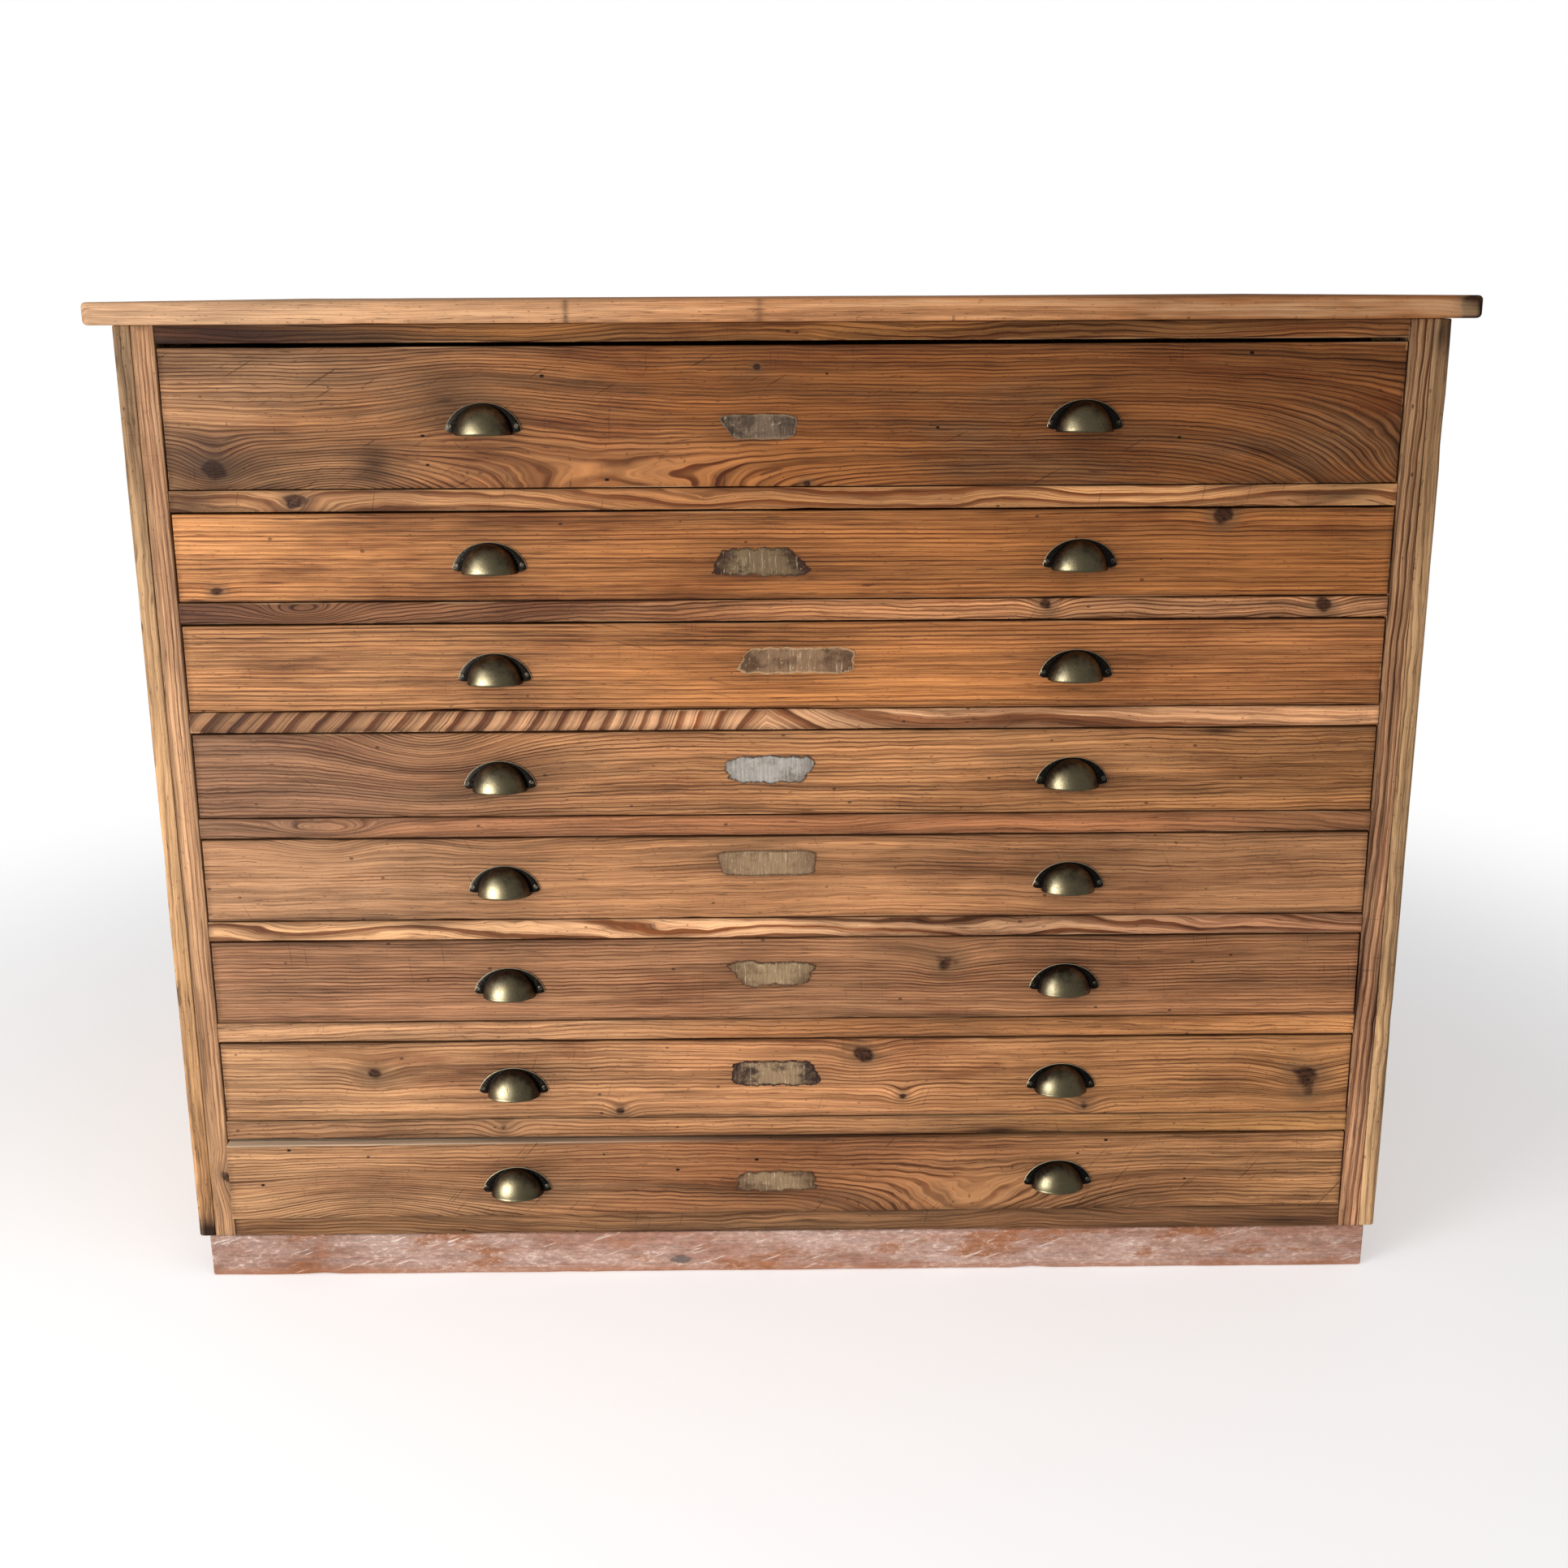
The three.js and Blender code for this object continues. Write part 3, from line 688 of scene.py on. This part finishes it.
FLANGE_HALF_WIDTH = 38.5 * MM
FLANGE_HEIGHT = 31.5 * MM
FLANGE_FOOT = 2.0 * MM  # how far above the cup's lip the ears end
HOLE_HALF_WIDTH = 27.6 * MM
HOLE_HEIGHT = 29.2 * MM
CUP_HALF_WIDTH = 28.8 * MM
CUP_HEIGHT = 30.4 * MM
CUP_PROJECTION = 22 * MM
CUP_WALL = 1.6 * MM
FLANGE_THICKNESS = 1.6 * MM
SCREW_REACH = 33.5 * MM  # from the middle of the pull to each screw
SCREW_RISE = 8.5 * MM
SCREW_RADIUS = 2.7 * MM
SCREW_EDGE = 0.6 * MM  # the height of the head's side
SCREW_SLOT = 0.35 * MM  # half the slot's width
SCREW_SLOT_DEPTH = 0.5 * MM
EAR_ROUNDING = 6 * MM
RIM_RUB_AND_HIGHLIGHT = 2.0  # marks the outer edge of the flange, which the brass finish paints pale as rubbed metal and a painted highlight


def antique_brass():
    """Dark patina, rubbed through to olive gold where fingers and cloths reach, with a painted highlight on
    the flange's outer rim.
    """
    mat = Recipe("antique_brass")
    crown = mat.make("ShaderNodeAttribute", {"attribute_name": "crown"}, {}, "Fac")
    broad = mat.cloud(mat.place, scale=60, detail=3, rough=0.6)
    fine = mat.cloud(mat.place, scale=900, detail=3, rough=0.65)
    speck = mat.cloud(mat.place, scale=380, detail=2).step(0.60, 0.72)
    rubbed = (crown + (broad - 0.5) * 1.0).step(0.25, 1.0)
    # Painted highlight: the flange's outer rim is painted pale and made less metallic so it reads as a
    # bright edge; it is also rubbed brass.
    rim = crown.step(1.5, 1.9)
    colour = mat.blend(rubbed, tint("241C16"), tint("AA9C78"))
    colour = mat.blend(speck * 0.5, colour, tint("1E1712"))
    colour = mat.blend(fine.step(0.56, 0.72) * 0.4, colour, tint("C0B694"))
    colour = mat.blend(rim * (broad.step(0.35, 0.6) * 0.5 + 0.5), colour, tint("C6BAA2"))
    roughness = 0.45 - rubbed * 0.08 + (fine - 0.5) * 0.25 + speck * 0.15
    return mat.finish(colour, roughness, fine * 0.5 + broad * 0.5, depth=0.00030, Metallic=1.0 - rim * 0.7,
                      **{"Coat Weight": 0.5, "Coat Roughness": 0.28})


def screw_steel():
    mat = Recipe("screw_steel")
    fine = mat.cloud(mat.place, scale=1500, detail=3)
    broad = mat.cloud(mat.place, scale=240, detail=2)
    colour = mat.blend(broad.step(0.4, 0.65), tint("8C8270"), tint("4A4036"))
    return mat.finish(colour, 0.32 + fine * 0.25, fine, depth=0.00015, Metallic=1.0)


def flange_mesh():
    """A horseshoe of thick sheet around the cup, with its two ears at the bottom."""
    bm = bmesh.new()
    bmesh.ops.create_circle(bm, segments=144, radius=1)
    bmesh.ops.scale(bm, vec=(FLANGE_HALF_WIDTH, FLANGE_HEIGHT, 1), verts=bm.verts)
    ring = bmesh.ops.extrude_edge_only(bm, edges=bm.edges[:])
    inner = [v for v in ring["geom"] if isinstance(v, bmesh.types.BMVert)]
    hole = (HOLE_HALF_WIDTH / FLANGE_HALF_WIDTH, HOLE_HEIGHT / FLANGE_HEIGHT, 1)
    bmesh.ops.scale(bm, vec=hole, verts=inner)
    bmesh.ops.bisect_plane(bm, geom=bm.verts[:] + bm.edges[:] + bm.faces[:], plane_co=(0, FLANGE_FOOT, 0),
                           plane_no=(0, 1, 0), clear_inner=True)
    for vert in bm.verts:
        short = EAR_ROUNDING - min(EAR_ROUNDING, vert.co.y - FLANGE_FOOT)
        limit = FLANGE_HALF_WIDTH - EAR_ROUNDING + math.sqrt(EAR_ROUNDING ** 2 - short ** 2)
        vert.co.x = math.copysign(min(abs(vert.co.x), limit), vert.co.x)
    bmesh.ops.rotate(bm, cent=(0, 0, 0), matrix=Matrix.Rotation(math.pi / 2, 3, "X"), verts=bm.verts)
    grown = bmesh.ops.extrude_face_region(bm, geom=bm.faces[:])
    raised = [v for v in grown["geom"] if isinstance(v, bmesh.types.BMVert)]
    bmesh.ops.translate(bm, vec=(0, -FLANGE_THICKNESS, 0), verts=raised)
    bmesh.ops.recalc_face_normals(bm, faces=bm.faces)
    ease(bm, sharp_edges(bm, 0.9), 0.6 * MM, 2)
    return bm


def cup_mesh():
    """A quarter of an egg shell with a wall of even thickness and a rounded lip."""
    bm = bmesh.new()
    bmesh.ops.create_uvsphere(bm, u_segments=72, v_segments=36, radius=1)
    bmesh.ops.rotate(bm, cent=(0, 0, 0), matrix=Matrix.Rotation(math.pi / 2, 3, "Y"), verts=bm.verts)
    bmesh.ops.scale(bm, vec=(CUP_HALF_WIDTH, CUP_PROJECTION, CUP_HEIGHT), verts=bm.verts)
    for normal in ((0, 0, 1), (0, -1, 0)):
        bmesh.ops.bisect_plane(bm, geom=bm.verts[:] + bm.edges[:] + bm.faces[:], plane_co=(0, 0, 0),
                               plane_no=normal, clear_inner=True)
    bmesh.ops.recalc_face_normals(bm, faces=bm.faces)
    bmesh.ops.solidify(bm, geom=bm.faces[:], thickness=CUP_WALL)
    ease(bm, sharp_edges(bm, 1.0), 0.5 * MM, 2)
    return bm


def screw_mesh(at, turn):
    """A slotted dome head."""
    bm = bmesh.new()
    bmesh.ops.create_circle(bm, segments=24, radius=SCREW_RADIUS, cap_ends=True)
    grown = bmesh.ops.extrude_face_region(bm, geom=bm.faces[:])
    top = [v for v in grown["geom"] if isinstance(v, bmesh.types.BMVert)]
    bmesh.ops.translate(bm, vec=(0, 0, SCREW_EDGE), verts=top)
    crown = [f for f in grown["geom"] if isinstance(f, bmesh.types.BMFace)]
    bmesh.ops.inset_region(bm, faces=crown, thickness=0.9 * MM, depth=0.45 * MM)
    for side in (-SCREW_SLOT, SCREW_SLOT):
        bmesh.ops.bisect_plane(bm, geom=bm.verts[:] + bm.edges[:] + bm.faces[:],
                               plane_co=(0, side, 0), plane_no=(0, 1, 0))
    slot = [f for f in bm.faces if abs(f.calc_center_median().y) < SCREW_SLOT * 0.86 and f.normal.z > 0.5
            and f.calc_center_median().z > SCREW_EDGE * 0.84]
    sunk = bmesh.ops.extrude_face_region(bm, geom=slot)
    floor = [v for v in sunk["geom"] if isinstance(v, bmesh.types.BMVert)]
    bmesh.ops.delete(bm, geom=slot, context="FACES_ONLY")
    bmesh.ops.translate(bm, vec=(0, 0, -SCREW_SLOT_DEPTH), verts=floor)
    bmesh.ops.recalc_face_normals(bm, faces=bm.faces)
    facing = Matrix.Rotation(math.pi / 2, 4, "X") @ Matrix.Rotation(turn, 4, "Z")
    bmesh.ops.transform(bm, matrix=Matrix.Translation(at) @ facing, verts=bm.verts)
    return bm


def merge_into(target, source):
    """Adds one bmesh to another."""
    spare = bpy.data.meshes.new("spare")
    source.to_mesh(spare)
    source.free()
    target.from_mesh(spare)
    bpy.data.meshes.remove(spare)


def build_pulls(drawer, brass, steel):
    for word in ("left", "right"):
        low, high = drawer.square_box(f"pull_{word}")
        foot = Vector(((low.x + high.x) / 2, high.y, low.z))
        bm = cup_mesh()
        merge_into(bm, flange_mesh())
        crown = bm.verts.layers.float.new("crown")
        for vert in bm.verts:
            out = Vector((vert.co.x / FLANGE_HALF_WIDTH, 0, vert.co.z / FLANGE_HEIGHT)).length
            vert[crown] = RIM_RUB_AND_HIGHLIGHT if out > 0.993 else min(1.0, -vert.co.y / CUP_PROJECTION)
        bmesh.ops.translate(bm, vec=foot, verts=bm.verts)
        drawer.put(f"cup_{word}", bm, brass, "brass", [f"pull_{word}"], smooth=True)
        screws = bmesh.new()
        for side in (-1, 1):
            at = foot + Vector((side * SCREW_REACH, -FLANGE_THICKNESS, SCREW_RISE))
            merge_into(screws, screw_mesh(at, drawer.number * 1.7 + side * 0.6 + foot.x * 9))
        drawer.put(f"screws_{word}", screws, steel, "brass")


# ---------------------------------------------------------------- labels

@dataclass
class Label:
    """A torn scrap of paper. Its middle is measured from the middle of the drawer front, in millimetres."""
    x: float
    z: float
    width: float
    height: float
    paper: str
    stain: str
    stained: float  # how much of it is stained
    ragged: float  # how far the tears run in
    pulled: tuple  # how far each corner is torn in: top left, top right, bottom right, bottom left
    edge: str = "CDB493"  # the colour of its torn edge
    edged: float = 0.5


LABELS = [
    Label(-27, -10, 82, 24, "6F5B49", "3B2D24", 1.0, 1.2, (2, 1, 4, 16), "8A7259", 0.6),
    Label(-23.5, -6.5, 104, 28, "756044", "3A2216", 1.0, 2.6, (12, 22, 1, 0), "3A2418", 0.8),
    Label(10, 5.5, 132, 27, "8A6B4F", "573D29", 0.9, 1.4, (16, 5, 6, 6), "C09A72", 0.7),
    Label(-18, 4, 96, 28, "A69F96", "6B5D50", 0.6, 2.6, (3, 0, 9, 4), "3F281A", 0.9),
    Label(-21, 16, 106, 28, "94795A", "70553E", 0.7, 0.8, (0, 1, 2, 5), "4E3422", 0.8),
    Label(-18, 6, 98, 28, "957C5C", "5A4029", 0.7, 2.4, (3, 1, 8, 18), "42281A", 0.9),
    Label(-13.5, 6, 104, 28, "93795B", "33201A", 1.0, 2.4, (6, 12, 2, 6), "301C16", 1.0),
    Label(-16, -6, 102, 23, "8E7557", "553B27", 0.8, 3.2, (12, 6, 4, 10), "42291A", 0.8),
]
PAPER_THICKNESS = 0.35 * MM


def old_paper(name, label, middle):
    """Brittle brown paper: stained towards its ends, crackled up and down, flaking to a paler layer."""
    mat = Recipe(name)
    half_width = label.width / 2 * MM
    uv = mat.make("ShaderNodeUVMap", {"uv_map": "sheet"}, {})
    u, v, _ = mat.split(uv)
    local = mat.stretch(mat.place, (1, 1, 1), tuple(-middle))
    broad = mat.cloud(mat.stretch(local, (38, 1, 60), (label.x, 0, label.z)), detail=4, rough=0.65)
    fibre = mat.cloud(mat.stretch(local, (900, 1, 420)), detail=3, rough=0.7)
    crackle = mat.cloud(mat.stretch(local, (420, 1, 40), (3, label.z, 0)), detail=3, rough=0.7)
    flake = mat.cloud(mat.stretch(local, (240, 1, 170), (1, 0, label.x)), detail=3, rough=0.7)
    ends = (u.size() + (broad - 0.5) * 1.5).step(0.35, 1.0)
    colour = mat.blend(ends * label.stained, tint(label.paper), tint(label.stain))
    colour = mat.blend(broad.step(0.50, 0.66) * (label.stained * 0.7), colour, tint(label.stain))
    colour = mat.brighten(colour, fibre * 0.7 + crackle * 1.3)
    colour = mat.blend(crackle.step(0.60, 0.70) * 0.5, colour, tint("DCCDB4"))
    colour = mat.blend(flake.step(0.60, 0.70) * 0.5, colour, tint("CBB795"))
    rim = ((u.size() * -1.0 + 1.0) * half_width).least((v.size() * -1.0 + 1.0) * (label.height / 2 * MM))
    rim = (rim + (broad - 0.5) * 0.006 + (flake - 0.5) * 0.003).step(0.0002, 0.0026, 1.0, 0.0)
    colour = mat.blend(rim * label.edged, colour, tint(label.edge))
    return mat.finish(colour, 0.72 + fibre * 0.2, broad * 0.4 + crackle * 0.5 + fibre * 0.2, depth=0.0007,
                      **{"Specular IOR Level": 0.3})


def build_label(drawer):
    label = LABELS[drawer.number - 1]
    low, high = drawer.square_box("front")
    middle = Vector(((low.x + high.x) / 2 + label.x * MM, low.y, (low.z + high.z) / 2 + label.z * MM))
    bm = bmesh.new()
    bm.loops.layers.uv.new("sheet")
    bmesh.ops.create_grid(bm, x_segments=80, y_segments=24, size=1, calc_uvs=True)
    sheet = bm.loops.layers.uv["sheet"]
    for face in bm.faces:
        for loop in face.loops:
            loop[sheet].uv = loop.vert.co.xy
    half_width = label.width / 2 * MM
    half_height = label.height / 2 * MM
    top_left, top_right, bottom_right, bottom_left = (corner * MM for corner in label.pulled)
    seed = Vector((drawer.number * 3.1, 0, drawer.number * 1.9))
    for vert in bm.verts:
        across, up, _ = vert.co
        spot = Vector((across * half_width, 0, up * half_height))
        tear = noise.noise(Vector((spot.x * 90, 0, 0)) + seed) + 0.6 * noise.noise(spot * 420 + seed)
        end_tear = noise.noise(Vector((0, 0, spot.z * 130)) + seed) + 0.6 * noise.noise(spot * 500 - seed)
        high_share = (up + 1) / 2
        if across < 0:
            inset = top_left * high_share + bottom_left * (1 - high_share)
        else:
            inset = -top_right * high_share - bottom_right * (1 - high_share)
        rounding = 1 - 0.3 * abs(across) ** 8
        spot.x += inset * abs(across) ** 1.5 + end_tear * label.ragged * 1.3 * MM * across
        spot.z = spot.z * rounding + tear * label.ragged * MM * up
        lift = max(0.0, abs(across) - 0.8) * max(0.0, abs(up) - 0.5) * 6
        ripple = 0.5 + 0.5 * noise.noise(Vector((spot.x * 420, 0, spot.z * 60)) + seed)
        spot.y = -(0.15 + 0.4 * ripple + lift) * MM
        vert.co = spot
    bmesh.ops.solidify(bm, geom=bm.faces[:], thickness=PAPER_THICKNESS)
    bmesh.ops.recalc_face_normals(bm, faces=bm.faces)
    bmesh.ops.translate(bm, vec=middle, verts=bm.verts)
    drawer.put("label", bm, old_paper(f"label_paper_{drawer.number}", label, middle), "paper")


# ---------------------------------------------------------------- studio

def area_light(name, at, aim, size, power, mirrored=True):
    """A soft box. One that isn't mirrored lights the object without showing in its brass."""
    light = bpy.data.lights.new(name, "AREA")
    light.shape = "RECTANGLE"
    light.size, light.size_y = size
    light.energy = power
    lamp = bpy.data.objects.new(name, light)
    lamp.location = at
    lamp.rotation_euler = (Vector(aim) - Vector(at)).to_track_quat("-Z", "Y").to_euler()
    lamp.visible_glossy = mirrored
    bpy.context.scene.collection.objects.link(lamp)


def build_studio():
    floor = Recipe("studio_floor")
    away = floor.make("ShaderNodeVectorMath", {"operation": "LENGTH"}, {0: floor.place}, "Value")
    floor.finish((0.9, 0.9, 0.9), 0.9, Alpha=away.step(1.0, 2.1, 1.0, 0.0),
                 **{"Specular IOR Level": 0.1, "Emission Color": (1, 1, 1), "Emission Strength": 0.33})
    bm = bmesh.new()
    bmesh.ops.create_grid(bm, x_segments=1, y_segments=1, size=12)
    mesh = bpy.data.meshes.new("floor")
    bm.to_mesh(mesh)
    bm.free()
    mesh.materials.append(floor.material)
    ground = bpy.data.objects.new("floor", mesh)
    bpy.context.scene.collection.objects.link(ground)
    ground.visible_glossy = False

    world = bpy.data.worlds.new("studio")
    bpy.context.scene.world = world
    world.use_nodes = True
    nodes = world.node_tree.nodes
    links = world.node_tree.links
    path = nodes.new("ShaderNodeLightPath")
    sky = None
    for ray, shade in (("Is Glossy Ray", 0.14), ("Is Camera Ray", 1.0)):
        mix = nodes.new("ShaderNodeMixRGB")
        mix.inputs["Color1"].default_value = (0.37, 0.37, 0.38, 1)
        mix.inputs["Color2"].default_value = (shade, shade, shade, 1)
        links.new(path.outputs[ray], mix.inputs["Fac"])
        if sky:
            links.new(sky, mix.inputs["Color1"])
        sky = mix.outputs["Color"]
    links.new(sky, nodes["Background"].inputs["Color"])

    area_light("window", (-1.8, -2.2, 0.42), (0, FACE_Y, 0.5), (1.2, 1.3), 50)
    area_light("key", (-2.6, -2.6, 1.9), (0, FACE_Y, 0.45), (1.4, 1.0), 12)
    area_light("overhead", (0, -1.4, 3.0), (0, 0, 0.5), (3.0, 1.6), 18, mirrored=False)
    area_light("fill", (1.6, -3.2, 1.2), (0.2, FACE_Y, 0.3), (1.8, 1.6), 5, mirrored=False)
    bpy.context.scene.view_settings.view_transform = "Standard"


def build_camera():
    """Standing level with the top, a little left of the middle, looking down at the drawers."""
    data = bpy.data.cameras.new("camera")
    data.lens = 42.02
    data.sensor_width = 36
    data.clip_end = 60
    camera = bpy.data.objects.new("camera", data)
    pitch, yaw, roll = (math.radians(angle) for angle in (15.06, -0.468, -0.297))
    place = Matrix.Translation((-0.0174, FACE_Y - 1.855, 1.0693))
    level = Matrix.Rotation(yaw, 4, "Z") @ Matrix.Rotation(math.pi / 2 - pitch, 4, "X")
    camera.matrix_world = place @ level @ Matrix.Rotation(roll, 4, "Z")
    bpy.context.scene.collection.objects.link(camera)
    bpy.context.scene.camera = camera


build_camera()
build_studio()
build_carcass()
build_inside()
brass = antique_brass()
steel = screw_steel()
for number in DRAWERS:
    drawer = Drawer(number)
    build_drawer_wood(drawer)
    build_pulls(drawer, brass, steel)
    build_label(drawer)
